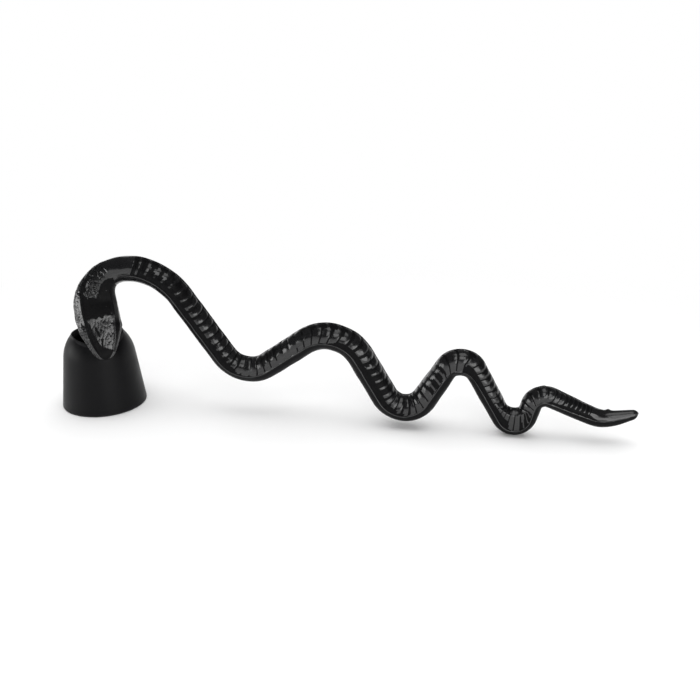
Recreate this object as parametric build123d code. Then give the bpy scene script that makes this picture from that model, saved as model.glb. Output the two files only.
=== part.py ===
from build123d import *
import math
import os

# Candle snuffer. A cast snake is the handle: its body runs in waves along X, its neck arches over
# the cup and its jaws hold the cup's front wall. The cup swings on a pin through the lower jaw.
# Millimetres, +Z up, origin at the centre of the cup's mouth on the surface that it stands on.

# The cup: a bell with tapered sides, a round shoulder and an open crown
CUP_HEIGHT = 29.8
CUP_MOUTH_RADIUS = 16.5
CUP_TAPER = 2.7
CUP_SHOULDER_DROP = 8.8
CUP_WALL = 2.0
CUP_RIM_CHAMFER = 0.6
CROWN_INSET = 6.8
CROWN_NOTCH_DROP = 2.3
CROWN_NOTCH_SLOPE = 15.0

# The pivot pin, with a domed head behind the cup
PIN_RADIUS = 1.3
PIN_DROP_BELOW_NOTCH = 3.8
PIN_HEAD_RADIUS = 2.2
PIN_HEAD_THICKNESS = 1.2
PIN_RUNNING_CLEARANCE = 0.05
PIN_SEAT_CLEARANCE = 0.02

# The body's bends from tail to neck, troughs and crests in turn: X of the bend, height of the body's
# underside in a trough or of its top on a crest, radius of the bend and radius of the body.
# The body's second trough from the tail rests on the surface that the cup stands on.
TAIL_TIP = (207.3, 11.5)
TAIL_TIP_RADIUS = 2.0
BENDS = [
    (195.2, 5.8, 13.3, 3.5),
    (174.4, 20.2, 4.9, 4.0),
    (163.7, 0.0, 4.9, 3.8),
    (143.5, 32.4, 5.9, 4.4),
    (122.9, 2.0, 8.8, 5.3),
    (93.4, 39.3, 14.9, 5.2),
    (62.6, 13.5, 12.5, 5.0),
]

# The neck rises over a last crest, whose height counts from the corner where it turns down on the
# cup's axis. The turn down takes up this share of the run from that crest. The head faces this far
# round from -Y towards +X, and its axis passes the cup's notch at this distance outside the wall.
NECK_ABOVE_CUP = 24.7
NECK_CREST = (17.2, 6.8, 23.6, 5.0)
NECK_BEND_SHARE = 0.98
NECK_RADIUS = 5.1
HEAD_TURN = 37.0
HEAD_STANDOFF = 3.07

# The head's sections: place along its axis from the neck's corner, half width at the lips, half
# width and height of the flat crown, height of the lips, half width and depth of the underside
HEAD_SECTIONS = [
    (14.4, 8.35, 5.7, 3.9, -1.0, 4.8, 6.0),
    (16.2, 8.45, 5.8, 3.9, -1.6, 5.0, 6.2),
    (18.7, 8.25, 5.7, 3.7, -2.0, 5.2, 5.8),
    (21.9, 7.6, 5.3, 3.2, -1.2, 5.5, 2.2),
    (26.7, 6.3, 4.8, 2.6, -0.8, 4.6, 1.7),
    (30.7, 4.75, 3.6, 2.0, -0.6, 3.4, 1.6),
    (33.6, 3.2, 2.2, 1.5, -0.4, 2.2, 1.5),
    (35.1, 1.6, 1.0, 0.9, -0.3, 1.1, 1.0),
]
CROWN_SWELL = 0.5
UNDERSIDE_SWELL = 0.2
HEAD_STEP = 1.6

# The lower jaw inside the cup: its root along the head's axis and below it, how far its tip goes
# under the crown's edge and below the pin, and its sections from root to tip
JAW_ROOT = 14.76
JAW_ROOT_DEPTH = 3.18
JAW_TIP_TUCK = 0.5
JAW_BELOW_PIN = 3.1
JAW_HALF_THICKNESS = 2.7
JAW_SECTIONS = [
    (0.0, 6.6),
    (0.36, 6.2),
    (0.52, 5.4),
    (0.72, 4.9),
    (0.88, 4.2),
]
JAW_TIP_ROUND = [(0.95, 0.88), (0.985, 0.62), (1.0, 0.3)]

# Cross ribs over the back of the body, closer together towards the tail
RIB_PITCH_TAIL = 2.2
RIB_PITCH_NECK = 3.4
RIB_DEPTH = 0.09
RIB_RISE = 0.28
RIBS_FROM = 22.0
RIBS_BEFORE_NECK = 4.0
PLAIN_STEP = 2.2
NECK_STEPS = 11

# Corners and middles of the four arcs round the body, in degrees from its side over its back, and
# the steps of the tail's round end
SECTION_ANGLES = (30, 90, 150, 190, 230, 270, 310, 350)
TAIL_ANGLES = (12, 30, 50, 70, 90)


def head_point(out, up):
    """A point in the head's own upright plane: its distance out from the cup's axis and its height."""
    turn = math.radians(HEAD_TURN)
    return Vector(out * math.sin(turn), -out * math.cos(turn), up)


def mix(a, b, share):
    """The value that lies this share of the way from a to b."""
    return a + (b - a) * share


def smooth(share):
    """A share from 0 to 1 that starts and ends gently."""
    share = min(max(share, 0.0), 1.0)
    return share * share * (3.0 - 2.0 * share)


def between(rows, place):
    """The row of values at a place, worked out in line between rows whose first value is a place."""
    if place <= rows[0][0]:
        return rows[0][1:]
    for low, high in zip(rows, rows[1:]):
        if place <= high[0]:
            share = (place - low[0]) / (high[0] - low[0])
            return tuple(mix(a, b, share) for a, b in zip(low[1:], high[1:]))
    return rows[-1][1:]


def round_section(radius, dip):
    """Four arcs round the body as corner and middle points, with the back's middle lowered by dip."""
    turns = [math.radians(angle) for angle in SECTION_ANGLES]
    points = [(radius * math.cos(turn), radius * math.sin(turn)) for turn in turns]
    points[1] = (0.0, radius - dip)
    return points


def head_section(half_width, crown_half, crown, lips, under_half, depth):
    """Four arcs round the head: its flat crown, a cheek, its underside and the other cheek."""
    swell = CROWN_SWELL * crown_half / HEAD_SECTIONS[0][2]
    return [
        (crown_half, crown), (0.0, crown + swell), (-crown_half, crown), (-half_width, lips),
        (-under_half, -depth), (0.0, -depth - UNDERSIDE_SWELL), (under_half, -depth), (half_width, lips),
    ]


def jaw_section(half_width, half_thickness):
    """Four arcs round the lower jaw, an oval that is wider than it is thick."""
    unit = round_section(1.0, 0.0)
    return [(x * half_width, y * half_thickness) for x, y in unit]


def section_wire(origin, tangent, back, points):
    """Section points set square to the path, with the snake's back towards the given direction."""
    back = (back - tangent * back.dot(tangent)).normalized()
    side = back.cross(tangent)
    placed = [origin + side * x + back * y for x, y in points]
    placed.append(placed[0])
    return Wire([ThreePointArc(*placed[i:i + 3]).edge() for i in range(0, len(points), 2)])


shoulder_radius = CUP_MOUTH_RADIUS - CUP_TAPER
shoulder_height = CUP_HEIGHT - CUP_SHOULDER_DROP
crown_radius = CUP_MOUTH_RADIUS - CROWN_INSET
notch_height = CUP_HEIGHT - CROWN_NOTCH_DROP
pin_height = notch_height - PIN_DROP_BELOW_NOTCH
wall_lean = math.atan2(CUP_TAPER, shoulder_height)


def shoulder_arc():
    """Radius and height of the shoulder's centre and its round, from the side to the crown's edge."""
    across = shoulder_radius - crown_radius
    round_radius = math.hypot(across, CUP_SHOULDER_DROP) ** 2 / (
        2 * (across * math.cos(wall_lean) - CUP_SHOULDER_DROP * math.sin(wall_lean))
    )
    radius = shoulder_radius - round_radius * math.cos(wall_lean)
    return radius, shoulder_height - round_radius * math.sin(wall_lean), round_radius


def outer_radius(height):
    """The cup's outside radius at a height on its side or shoulder."""
    if height < shoulder_height:
        return mix(CUP_MOUTH_RADIUS, shoulder_radius, height / shoulder_height)
    radius, centre, round_radius = shoulder_arc()
    return radius + math.sqrt(round_radius ** 2 - (height - centre) ** 2)


neck_height = CUP_HEIGHT + NECK_ABOVE_CUP
head_tilt = math.atan2(outer_radius(notch_height) + HEAD_STANDOFF, neck_height - notch_height)
head_axis = head_point(math.sin(head_tilt), -math.cos(head_tilt))
head_back = head_point(math.cos(head_tilt), math.sin(head_tilt))
body_back = Vector(0, -1, 0)
neck_corner = head_point(0.0, neck_height)
snout = neck_corner + head_axis * HEAD_SECTIONS[-1][0]
neck_x, neck_rise, neck_crest_bend, neck_crest_radius = NECK_CREST
bends = BENDS + [(neck_x, neck_height + neck_rise, neck_crest_bend, neck_crest_radius)]


def bend_circles():
    """Centre, radius and sense of each bend, with the tail's tip and the neck's corner as points."""
    circles = [(Vector(TAIL_TIP[0], 0, TAIL_TIP[1]), 0.0, -1)]
    sense = 1
    for x, outside, bend, radius in bends:
        circles.append((Vector(x, 0, outside + sense * (radius + bend)), bend, sense))
        sense = -sense
    circles.append((neck_corner, 0.0, sense))
    return circles


def snake_path():
    """Straight runs that touch each bend in turn, from the tail's tip over the neck to the snout."""
    circles = bend_circles()
    normals = []
    for (start, start_radius, sense), (end, end_radius, _) in zip(circles, circles[1:]):
        line = end - start
        lean = math.degrees(math.asin((start_radius + end_radius) / line.length))
        run = line.normalized().rotate(Axis.Y, sense * lean)
        normals.append(run.rotate(Axis.Y, -90))
    corners = [circles[0][0]]
    for (centre, bend, sense), before, after in zip(circles[1:], normals, normals[1:]):
        corners.append(centre + (before + after) * (sense * bend / (1 + before.dot(after))))
    crest, crest_bend, _ = circles[-2]
    neck_run = math.sqrt((neck_corner - crest).length ** 2 - crest_bend ** 2)
    neck_turn = math.radians((neck_corner - corners[-1]).get_angle(head_axis))
    neck_bend = NECK_BEND_SHARE * neck_run / math.tan(neck_turn / 2)
    turns = [bend for centre, bend, sense in circles[1:-1]] + [neck_bend]
    return FilletPolyline(*corners, neck_corner, snout, radius=turns)


def body_radii(edges):
    """The body's radius at the middle of each bend, by length along the path."""
    rows = [(0.0, TAIL_TIP_RADIUS)]
    radii = [radius for x, outside, bend, radius in bends] + [NECK_RADIUS]
    run = 0.0
    for index, edge in enumerate(edges):
        if index % 2:
            rows.append((run + edge.length / 2, radii[index // 2]))
        run += edge.length
    return rows


def snake_lofts():
    """Body and head: ruled lofts, the body's through the crests and grooves of its ribs."""
    path = snake_path()
    edges = path.wire().order_edges()
    radii = body_radii(edges)
    bend_end = path.length - edges[-1].length
    bend_start = bend_end - edges[-2].length
    corner_run = neck_corner.sub(edges[-1] @ 0).length
    wires = []

    def add(run, points):
        origin = path.position_at(run, position_mode=PositionMode.LENGTH)
        tangent = path.tangent_at(run, position_mode=PositionMode.LENGTH)
        turned = smooth((run - bend_start) / (bend_end - bend_start))
        back = body_back * (1 - turned) + head_back * turned
        wires.append(section_wire(origin, tangent, back, points))

    def radius_at(run):
        return between(radii, run)[0]

    for angle in TAIL_ANGLES:
        run = TAIL_TIP_RADIUS * (1 - math.cos(math.radians(angle)))
        add(run, round_section(radius_at(run) * math.sin(math.radians(angle)), 0.0))
    run = TAIL_TIP_RADIUS + PLAIN_STEP
    while run < RIBS_FROM - PLAIN_STEP / 2:
        add(run, round_section(radius_at(run), 0.0))
        run += PLAIN_STEP

    run = RIBS_FROM
    ribs_to = bend_start - RIBS_BEFORE_NECK
    while run < ribs_to:
        share = (run - RIBS_FROM) / (ribs_to - RIBS_FROM)
        pitch = mix(RIB_PITCH_TAIL, RIB_PITCH_NECK, share)
        radius = radius_at(run)
        add(run, round_section(radius, radius * RIB_DEPTH))
        crest = run + pitch * RIB_RISE
        add(crest, round_section(radius_at(crest), 0.0))
        run += pitch

    first_head = head_section(*HEAD_SECTIONS[0][1:])
    add(bend_start, round_section(NECK_RADIUS, 0.0))
    body = Solid.make_loft(wires, ruled=True)
    wires.clear()
    for step in range(NECK_STEPS):
        share = step / NECK_STEPS
        run = mix(bend_start, bend_end, share)
        plain = round_section(NECK_RADIUS, 0.0)
        widen = smooth(share)
        add(run, [(mix(a, c, widen), mix(b, d, widen)) for (a, b), (c, d) in zip(plain, first_head)])

    head_steps = math.ceil((path.length - bend_end) / HEAD_STEP)
    for step in range(head_steps + 1):
        run = mix(bend_end, path.length, step / head_steps)
        along = corner_run + run - bend_end
        add(run, head_section(*between(HEAD_SECTIONS, along)))
    return body, Solid.make_loft(wires, ruled=True)


def lower_jaw():
    """The jaw that goes down through the cup's crown and carries the pin."""
    top = neck_corner + head_axis * JAW_ROOT - head_back * JAW_ROOT_DEPTH
    tip = head_point(crown_radius + JAW_TIP_TUCK - JAW_HALF_THICKNESS, pin_height - JAW_BELOW_PIN)
    line = tip - top
    back = head_point(1.0, 0.0)
    wires = []
    for share, half_width in JAW_SECTIONS:
        points = jaw_section(half_width, JAW_HALF_THICKNESS)
        wires.append(section_wire(top + line * share, line.normalized(), back, points))
    tip_half = JAW_SECTIONS[-1][1]
    for share, size in JAW_TIP_ROUND:
        points = jaw_section(tip_half * size, JAW_HALF_THICKNESS * size)
        wires.append(section_wire(top + line * share, line.normalized(), back, points))
    return Solid.make_loft(wires, ruled=True)


def pin_line(start, length, radius):
    """A round bar on the pin's axis, from a distance out of the cup's axis and inwards to the back."""
    end = Plane(origin=head_point(start, pin_height), z_dir=head_point(-1.0, 0.0))
    return end * Cylinder(radius, length, align=(Align.CENTER, Align.CENTER, Align.MIN))


def bell_profile(inset):
    """The cup's side and shoulder, moved inwards by inset, closed to the axis and the mouth plane."""
    radius, height, round_radius = shoulder_arc()
    sweep = round_radius - inset
    crown = math.acos(max(0.0, -radius) / sweep)
    angles = (wall_lean, (wall_lean + crown) / 2, crown)
    low, middle, top = [(radius + sweep * math.cos(a), height + sweep * math.sin(a)) for a in angles]
    mouth = (CUP_MOUTH_RADIUS - inset / math.cos(wall_lean), 0.0)
    outline = Polyline((0, top[1]), (0, 0), mouth, low) + ThreePointArc(low, middle, top)
    if top[0] > 0:
        outline += Line(top, (0, top[1]))
    return make_face(Plane.XZ * outline)


def snuffer_cup():
    """The bell: a tapered shell, its crown bored open and ground down at a slant under the head."""
    standing = (Align.CENTER, Align.CENTER, Align.MIN)
    mouth_width = 2 * CUP_MOUTH_RADIUS
    bell = revolve(bell_profile(0.0), Axis.Z) - revolve(bell_profile(CUP_WALL), Axis.Z)
    bell = chamfer(bell.edges().group_by(Axis.Z)[0], CUP_RIM_CHAMFER)
    bell -= Pos(0, 0, shoulder_height) * Cylinder(crown_radius, CUP_HEIGHT, align=standing)
    notch_edge = head_point(outer_radius(notch_height), notch_height)
    slope = math.radians(CROWN_NOTCH_SLOPE)
    notch = Plane(origin=notch_edge, z_dir=head_point(math.sin(slope), math.cos(slope)))
    bell -= notch * Box(2 * mouth_width, 2 * mouth_width, CUP_HEIGHT, align=standing)
    bell -= pin_line(CUP_MOUTH_RADIUS, mouth_width, PIN_RADIUS + PIN_SEAT_CLEARANCE)
    return bell


def pivot_pin():
    """The pin through the cup's front wall, the lower jaw and the back wall, domed at the back."""
    front = outer_radius(pin_height + PIN_RADIUS)
    seat = outer_radius(pin_height - PIN_HEAD_RADIUS)
    shank = pin_line(front, front + seat, PIN_RADIUS)
    dome_radius = (PIN_HEAD_RADIUS ** 2 + PIN_HEAD_THICKNESS ** 2) / (2 * PIN_HEAD_THICKNESS)
    dome = Pos(0, 0, PIN_HEAD_THICKNESS - dome_radius) * Sphere(dome_radius)
    dome &= Cylinder(PIN_HEAD_RADIUS, PIN_HEAD_THICKNESS, align=(Align.CENTER, Align.CENTER, Align.MIN))
    seat_plane = Plane(origin=head_point(-seat, pin_height), z_dir=head_point(-1.0, 0.0))
    return shank + seat_plane * dome


def snake_handle():
    """The casting: wavy body, neck, head and lower jaw in one piece, bored for the pin."""
    body, head = snake_lofts()
    reach = outer_radius(pin_height)
    bore = pin_line(reach, 2 * reach, PIN_RADIUS + PIN_RUNNING_CLEARANCE)
    return Part() + head + lower_jaw() - bore + body


os.makedirs("parts", exist_ok=True)
pieces = {
    "snake_handle": snake_handle(),
    "snuffer_cup": snuffer_cup(),
    "pivot_pin": pivot_pin(),
}
for node, piece in pieces.items():
    export_step(piece, f"parts/{node}.step")
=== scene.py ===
import math

import bpy
import numpy as np
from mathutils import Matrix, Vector


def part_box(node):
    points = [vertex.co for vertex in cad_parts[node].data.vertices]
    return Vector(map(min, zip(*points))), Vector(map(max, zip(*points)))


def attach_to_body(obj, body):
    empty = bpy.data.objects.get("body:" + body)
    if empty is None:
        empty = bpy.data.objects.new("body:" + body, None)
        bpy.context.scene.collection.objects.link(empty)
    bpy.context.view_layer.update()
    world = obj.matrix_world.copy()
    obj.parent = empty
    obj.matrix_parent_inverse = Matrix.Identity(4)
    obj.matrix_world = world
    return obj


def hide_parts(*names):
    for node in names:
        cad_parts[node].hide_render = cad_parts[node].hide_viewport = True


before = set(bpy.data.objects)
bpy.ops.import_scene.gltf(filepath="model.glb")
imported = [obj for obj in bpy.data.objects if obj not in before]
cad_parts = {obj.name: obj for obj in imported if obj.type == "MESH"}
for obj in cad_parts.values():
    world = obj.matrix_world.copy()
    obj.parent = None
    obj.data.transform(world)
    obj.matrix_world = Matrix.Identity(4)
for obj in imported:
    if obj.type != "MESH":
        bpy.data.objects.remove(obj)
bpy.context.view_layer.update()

bl_info = {
    "name": "Snake Candle Snuffer",
    "version": (1, 0, 0),
    "blender": (4, 5, 0),
    "location": "View3D > Sidebar > Snuffer",
    "description": "Builds a black cast snake candle snuffer with its swinging cup and a studio stage",
    "category": "Mesh",
}

# The snake's centre line in metres, as the solids have it: the tail's tip, then troughs and crests in
# turn as X, height of the underside or of the top, radius of the bend and radius of the body
TAIL_TIP = (0.2073, 0.0115)
TAIL_TIP_RADIUS = 0.002
BENDS = (
    (0.1952, 0.0058, 0.0133, 0.0035),
    (0.1744, 0.0202, 0.0049, 0.0040),
    (0.1637, 0.0000, 0.0049, 0.0038),
    (0.1435, 0.0324, 0.0059, 0.0044),
    (0.1229, 0.0020, 0.0088, 0.0053),
    (0.0934, 0.0393, 0.0149, 0.0052),
    (0.0626, 0.0135, 0.0125, 0.0050),
    (0.0172, 0.0613, 0.0236, 0.0050),
)
NECK_HEIGHT = 0.0545
NECK_BEND_SHARE = 0.98
NECK_RADIUS = 0.0051
HEAD_TURN = math.radians(37.0)
HEAD_TILT = math.radians(28.3)

# The head's sections: place along its axis from the neck's corner, half width at the lips, half
# width and height of the crown, height of the lips, half width and depth of the underside
HEAD_SECTIONS = np.array((
    (0.0144, 0.00835, 0.0057, 0.0039, -0.0010, 0.0048, 0.0060),
    (0.0162, 0.00845, 0.0058, 0.0039, -0.0016, 0.0050, 0.0062),
    (0.0187, 0.00825, 0.0057, 0.0037, -0.0020, 0.0052, 0.0058),
    (0.0219, 0.00760, 0.0053, 0.0032, -0.0012, 0.0055, 0.0022),
    (0.0267, 0.00630, 0.0048, 0.0026, -0.0008, 0.0046, 0.0017),
    (0.0307, 0.00475, 0.0036, 0.0020, -0.0006, 0.0034, 0.0016),
    (0.0336, 0.00320, 0.0022, 0.0015, -0.0004, 0.0022, 0.0015),
    (0.0351, 0.00160, 0.0010, 0.0009, -0.0003, 0.0011, 0.0010),
))
CROWN_SWELL = 0.0005
UNDERSIDE_SWELL = 0.0002
SNOUT_ROUND = 0.0009

# Relief of the head: where the mouth starts along its axis, where the snout's plate starts and ends,
# length and width of the scales on the neck and cheek and of the plate's streaks, and the depth of
# the groove below a lip
MOUTH_FROM = 0.015
PLATE_FROM = 0.0178
PLATE_TO = 0.0292
NECK_SCALE = (0.0019, 0.0015)
CHEEK_SCALE = (0.0013, 0.0012)
PLATE_STREAK = (0.0034, 0.0010)
LIP_GROOVE = 0.0003

# The lower jaw: its root and tip as distance out from the cup's axis and height, and its half widths
JAW_TOP = (0.0042, 0.0400)
JAW_TIP = (0.0075, 0.0206)
JAW_HALF_THICKNESS = 0.0027
JAW_HALF_WIDTHS = (
    (0.0, 0.0066),
    (0.36, 0.0062),
    (0.52, 0.0054),
    (0.72, 0.0049),
    (0.88, 0.0042),
    (1.0, 0.0042),
)
JAW_TIP_FROM = 0.88

# The cup in metres, as the solids have it
CUP_HEIGHT = 0.0298
CUP_MOUTH_RADIUS = 0.0165
CUP_TAPER = 0.0027
CUP_SHOULDER_DROP = 0.0088
CUP_WALL = 0.002
CROWN_INSET = 0.0068
CROWN_NOTCH_DROP = 0.0023
CROWN_NOTCH_SLOPE = math.radians(15.0)
PIN_DROP_BELOW_NOTCH = 0.0038

# The edge of the cup's crown: its least width and how far its inner side may stand above its outer
CROWN_LAND = 0.0004
CROWN_RISE = 0.00002

# Relief, from 0 in grooves to 1 on high edges: of plain skin, of the cup's edges, which on the crown's
# lip and in its bore paints a highlight through the lighter worn colour, and of the pin
PLAIN_RELIEF = 0.6
WORN_AND_HIGHLIGHT_RELIEF = 0.95
PIN_RELIEF = 0.7

# Where the ribs run: their first place from the tail's tip, their last place before the neck's bend,
# their rows as shares of the pitch and how readily each takes the darker, duller enamel as painted
# shade, the middle and half span of the ribbed back round the body, and how much further up the belly
# reaches at the tail
RIBS_FROM = 0.018
RIBS_BEFORE_NECK = 0.0065
RIB_ROWS = np.array((0.0, 0.10, 0.25, 0.50, 0.75, 0.91))
RIB_CUTS = np.array((0.8, -0.5, -9.0, -0.4, 0.0, 0.8))
BACK_TURN = math.radians(135.0)
BACK_HALF_SPAN = math.radians(64.0)
BELLY_AT_TAIL = math.radians(24.0)

# The nub's place along and round the tail
NUB_AT = 0.0099
NUB_TURN = math.radians(196)

# Turns at the corners of the four arcs round the snake, and the columns of the grid on each arc:
# the back or crown, a flank or cheek, the underside and the other flank. A place round the snake
# counts the arcs from the first corner on, so the lips lie halfway along the second and the fourth.
ARC_TURNS = np.radians((30, 150, 230, 310, 390))
ARC_COLUMNS = (44, 28, 18, 28)
LEFT_LIP = 1.5
RIGHT_LIP = 3.5

# Columns of the grids round the lower jaw, the cup and the pin
JAW_COLUMNS = 88
CUP_COLUMNS = 192
PIN_COLUMNS = 64

# How far the snake's skin lies inside the solid's, and the share by which the tail's tip is slimmer
SKIN_INSET = 0.0001
TAIL_POINT = 0.14

# Webs in the inside of tight bends: X and height of the middle, bend, 1 for a trough or -1 for a
# crest, and the turn round the body that faces into the bend
WEBS = (
    (0.1635, 0.0106, 0.0046, 1, math.pi),
    (0.1435, 0.0224, 0.0050, -1, 0.0),
)
WEB_ROUND = 0.0035
WEB_JOIN = 0.0006

# Scale and weight of the lumps of each piece and of the fine peel of its finish
SNAKE_SKIN = ((620.0, 1.0), (2400.0, 0.25))
CUP_SKIN = ((300.0, 0.6), (2200.0, 0.35))
PIN_SKIN = ((900.0, 0.5), (5200.0, 0.5))
PIN_METALLIC = 0.6

# Soft boxes of the stage: name, place, the point that it faces, width and height
SOFT_BOXES = (
    ("left_box", (-0.38, -0.18, 0.085), (0.0, 0.0, 0.04), (0.46, 0.15)),
    ("right_box", (0.415, -0.256, 0.185), (0.0, 0.0, 0.04), (0.12, 0.09)),
    ("front_box", (0.30, -0.27, 0.085), (0.08, 0.0, 0.03), (0.26, 0.17)),
    ("high_box", (0.19, -0.99, 0.99), (0.10, 0.0, 0.02), (0.75, 0.75)),
    ("top_box", (0.15, -0.05, 0.80), (0.12, 0.0, 0.02), (0.50, 0.50)),
)

# Spread and turn of the light from above, width of the image behind the lens in millimetres, and the
# distance at which the floor is white as a multiple of where it starts to be
SKY_SPREAD = math.radians(90.0)
SKY_TURN = (math.radians(-15.0), math.radians(-10.0), 0.0)
IMAGE_WIDTH = 36.0
WHITE_BY = 2.2


def unit(vector):
    """The vector at length 1."""
    return vector / np.linalg.norm(vector)


def smooth(share):
    """A share from 0 to 1 that starts and ends gently: 3 t^2 - 2 t^3, held at its ends."""
    share = np.clip(share, 0.0, 1.0)
    return share * share * (3.0 - 2.0 * share)


def bump(value, centre, width):
    """A round bump of height 1: exp(-((value - centre) / width)^2)."""
    return np.exp(-((value - centre) / width) ** 2)


def ripple(a, b, seed):
    """Uneven waves on two coordinates, mostly between -1 and 1: a quarter of the sum of seven sines
    that cross each other at many angles."""
    total = np.zeros(np.broadcast(a, b).shape)
    for step in range(7):
        turn = seed + 2.399 * step
        pace = 0.75 + 0.13 * ((step * 3) % 7)
        total += np.sin(pace * (a * math.cos(turn) + b * math.sin(turn)) + 1.7 * turn)
    return total / 4.0


def hammered(a, b):
    """Small uneven facets on two coordinates, as grooves and tilts.

    One point is scattered in each square of side 1, and a place belongs to the nearest of them. The
    groove is 1 where the two nearest points are equally far and 0 from a difference of 0.3 on. The
    tilt is the offset from the nearest point along a direction that changes from point to point."""
    best = np.full(np.broadcast(a, b).shape, 9.0)
    second = best.copy()
    tilt = np.zeros(best.shape)
    for step_a in (-1, 0, 1):
        for step_b in (-1, 0, 1):
            i, j = np.floor(a) + step_a, np.floor(b) + step_b
            spread_a, spread_b = np.sin(12.99 * i + 78.23 * j), np.sin(39.35 * i + 11.13 * j)
            off_a, off_b = a - i - 0.5 - 0.4 * spread_a, b - j - 0.5 - 0.4 * spread_b
            gap = np.hypot(off_a, off_b)
            way = 9.0 * (spread_a + spread_b)
            closer = gap < best
            second = np.where(closer, best, np.minimum(second, gap))
            tilt = np.where(closer, off_a * np.cos(way) + off_b * np.sin(way), tilt)
            best = np.minimum(best, gap)
    return 1 - smooth((second - best) / 0.3), tilt


def ring_turns(columns):
    """Angles of the columns round a ring."""
    return np.linspace(0.0, 2 * math.pi, columns, endpoint=False)


def head_point(out, up):
    """A point in the head's own upright plane: its distance out from the cup's axis and its height."""
    return np.array((out * math.sin(HEAD_TURN), -out * math.cos(HEAD_TURN), up))


HEAD_OUT = head_point(1.0, 0.0)
HEAD_AXIS = head_point(math.sin(HEAD_TILT), -math.cos(HEAD_TILT))
HEAD_BACK = head_point(math.cos(HEAD_TILT), math.sin(HEAD_TILT))
BODY_BACK = np.array((0.0, -1.0, 0.0))
NECK_CORNER = head_point(0.0, NECK_HEIGHT)


def turned(vector, angle):
    """A vector turned about Y."""
    c, s = math.cos(angle), math.sin(angle)
    return np.array((vector[0] * c + vector[2] * s, vector[1], -vector[0] * s + vector[2] * c))


def path_corners():
    """The corners of the centre line and the radius of each bend.

    Each straight run touches two bends on opposite sides, so it leans from the line between their
    centres by asin((r1 + r2) / distance). Neighbouring runs cross at
    centre + (n1 + n2) * r / (1 + n1 . n2), where n1 and n2 are square to the runs."""
    centres = [np.array((TAIL_TIP[0], 0.0, TAIL_TIP[1]))]
    radii = [0.0]
    senses = [-1]
    for x, outside, bend, radius in BENDS:
        senses.append(-senses[-1])
        centres.append(np.array((x, 0.0, outside + senses[-1] * (radius + bend))))
        radii.append(bend)
    centres.append(NECK_CORNER)
    radii.append(0.0)
    normals = []
    for index in range(len(centres) - 1):
        line = centres[index + 1] - centres[index]
        lean = math.asin((radii[index] + radii[index + 1]) / np.linalg.norm(line))
        normals.append(turned(turned(unit(line), senses[index] * lean), -math.pi / 2))
    corners = [centres[0]]
    for index in range(1, len(centres) - 1):
        before, after = normals[index - 1], normals[index]
        outwards = (before + after) * senses[index] * radii[index] / (1 + before @ after)
        corners.append(centres[index] + outwards)
    neck_run = math.sqrt(np.sum((NECK_CORNER - centres[-2]) ** 2) - radii[-2] ** 2)
    neck_turn = math.acos(unit(NECK_CORNER - corners[-1]) @ HEAD_AXIS)
    neck_bend = NECK_BEND_SHARE * neck_run / math.tan(neck_turn / 2)
    corners += [NECK_CORNER, NECK_CORNER + HEAD_AXIS * HEAD_SECTIONS[-1, 0]]
    return corners, radii[1:-1] + [neck_bend]


def path_pieces():
    """Straight runs and bends in turn, and the length of the whole path.

    Each has its start along the path, first point, direction, inward direction and radius."""
    corners, radii = path_corners()
    pieces = []
    run = 0.0
    here = corners[0]
    for before, corner, after, radius in zip(corners, corners[1:], corners[2:], radii):
        way, next_way = unit(corner - before), unit(after - corner)
        angle = math.acos(way @ next_way)
        start = corner - way * radius * math.tan(angle / 2)
        pieces.append((run, here, way, np.zeros(3), math.inf))
        run += np.linalg.norm(start - here)
        pieces.append((run, start, way, unit(next_way - way * (way @ next_way)), radius))
        run += radius * angle
        here = corner + next_way * radius * math.tan(angle / 2)
    pieces.append((run, here, unit(corners[-1] - here), np.zeros(3), math.inf))
    return pieces, run + np.linalg.norm(corners[-1] - here)


PATH, PATH_LENGTH = path_pieces()
BEND_START = PATH[-2][0]
BEND_END = PATH[-1][0]
CORNER_RUN = np.linalg.norm(NECK_CORNER - PATH[-1][1])
RIBS_TO = BEND_START - RIBS_BEFORE_NECK
RADIUS_RUNS = [0.0] + [(PATH[i][0] + PATH[i + 1][0]) / 2 for i in range(1, len(PATH) - 1, 2)]
RADIUS_VALUES = [TAIL_TIP_RADIUS] + [bend[3] for bend in BENDS] + [NECK_RADIUS]


def head_share(runs):
    """Share of the head's form along the path, from 0 to 1 over the neck's bend."""
    return smooth((runs - BEND_START) / (BEND_END - BEND_START))


def along_path(runs):
    """Places, directions, sides and backs at lengths along the path.

    On a bend the place is start + r sin(l / r) * way + r (1 - cos(l / r)) * inward. The back turns
    from the body's to the head's over the neck's bend and is kept square to the direction."""
    places = np.empty(runs.shape + (3,))
    ways = np.empty(runs.shape + (3,))
    ends = [piece[0] for piece in PATH[1:]] + [math.inf]
    for (start, first, way, inward, radius), end in zip(PATH, ends):
        inside = (runs >= start) & (runs < end) | ((start == 0.0) & (runs < 0.0))
        length = (runs[inside] - start)[..., None]
        if math.isinf(radius):
            places[inside] = first + way * length
            ways[inside] = way
        else:
            angle = length / radius
            places[inside] = first + radius * (np.sin(angle) * way + (1 - np.cos(angle)) * inward)
            ways[inside] = np.cos(angle) * way + np.sin(angle) * inward
    share = head_share(runs)[..., None]
    backs = BODY_BACK * (1 - share) + HEAD_BACK * share
    backs = backs - ways * np.sum(backs * ways, axis=-1, keepdims=True)
    backs = backs / np.linalg.norm(backs, axis=-1, keepdims=True)
    return places, ways, np.cross(backs, ways), backs


def back_angle(turn):
    """Angle round the body from the middle of the ribbed back, between -pi and pi."""
    return (turn - BACK_TURN + math.pi) % (2 * math.pi) - math.pi


def window(value, start, rise, end, fall):
    """1 between two places, with a gentle rise after the start and a gentle fall after the end."""
    return smooth((value - start) / rise) * (1 - smooth((value - end) / fall))


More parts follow.
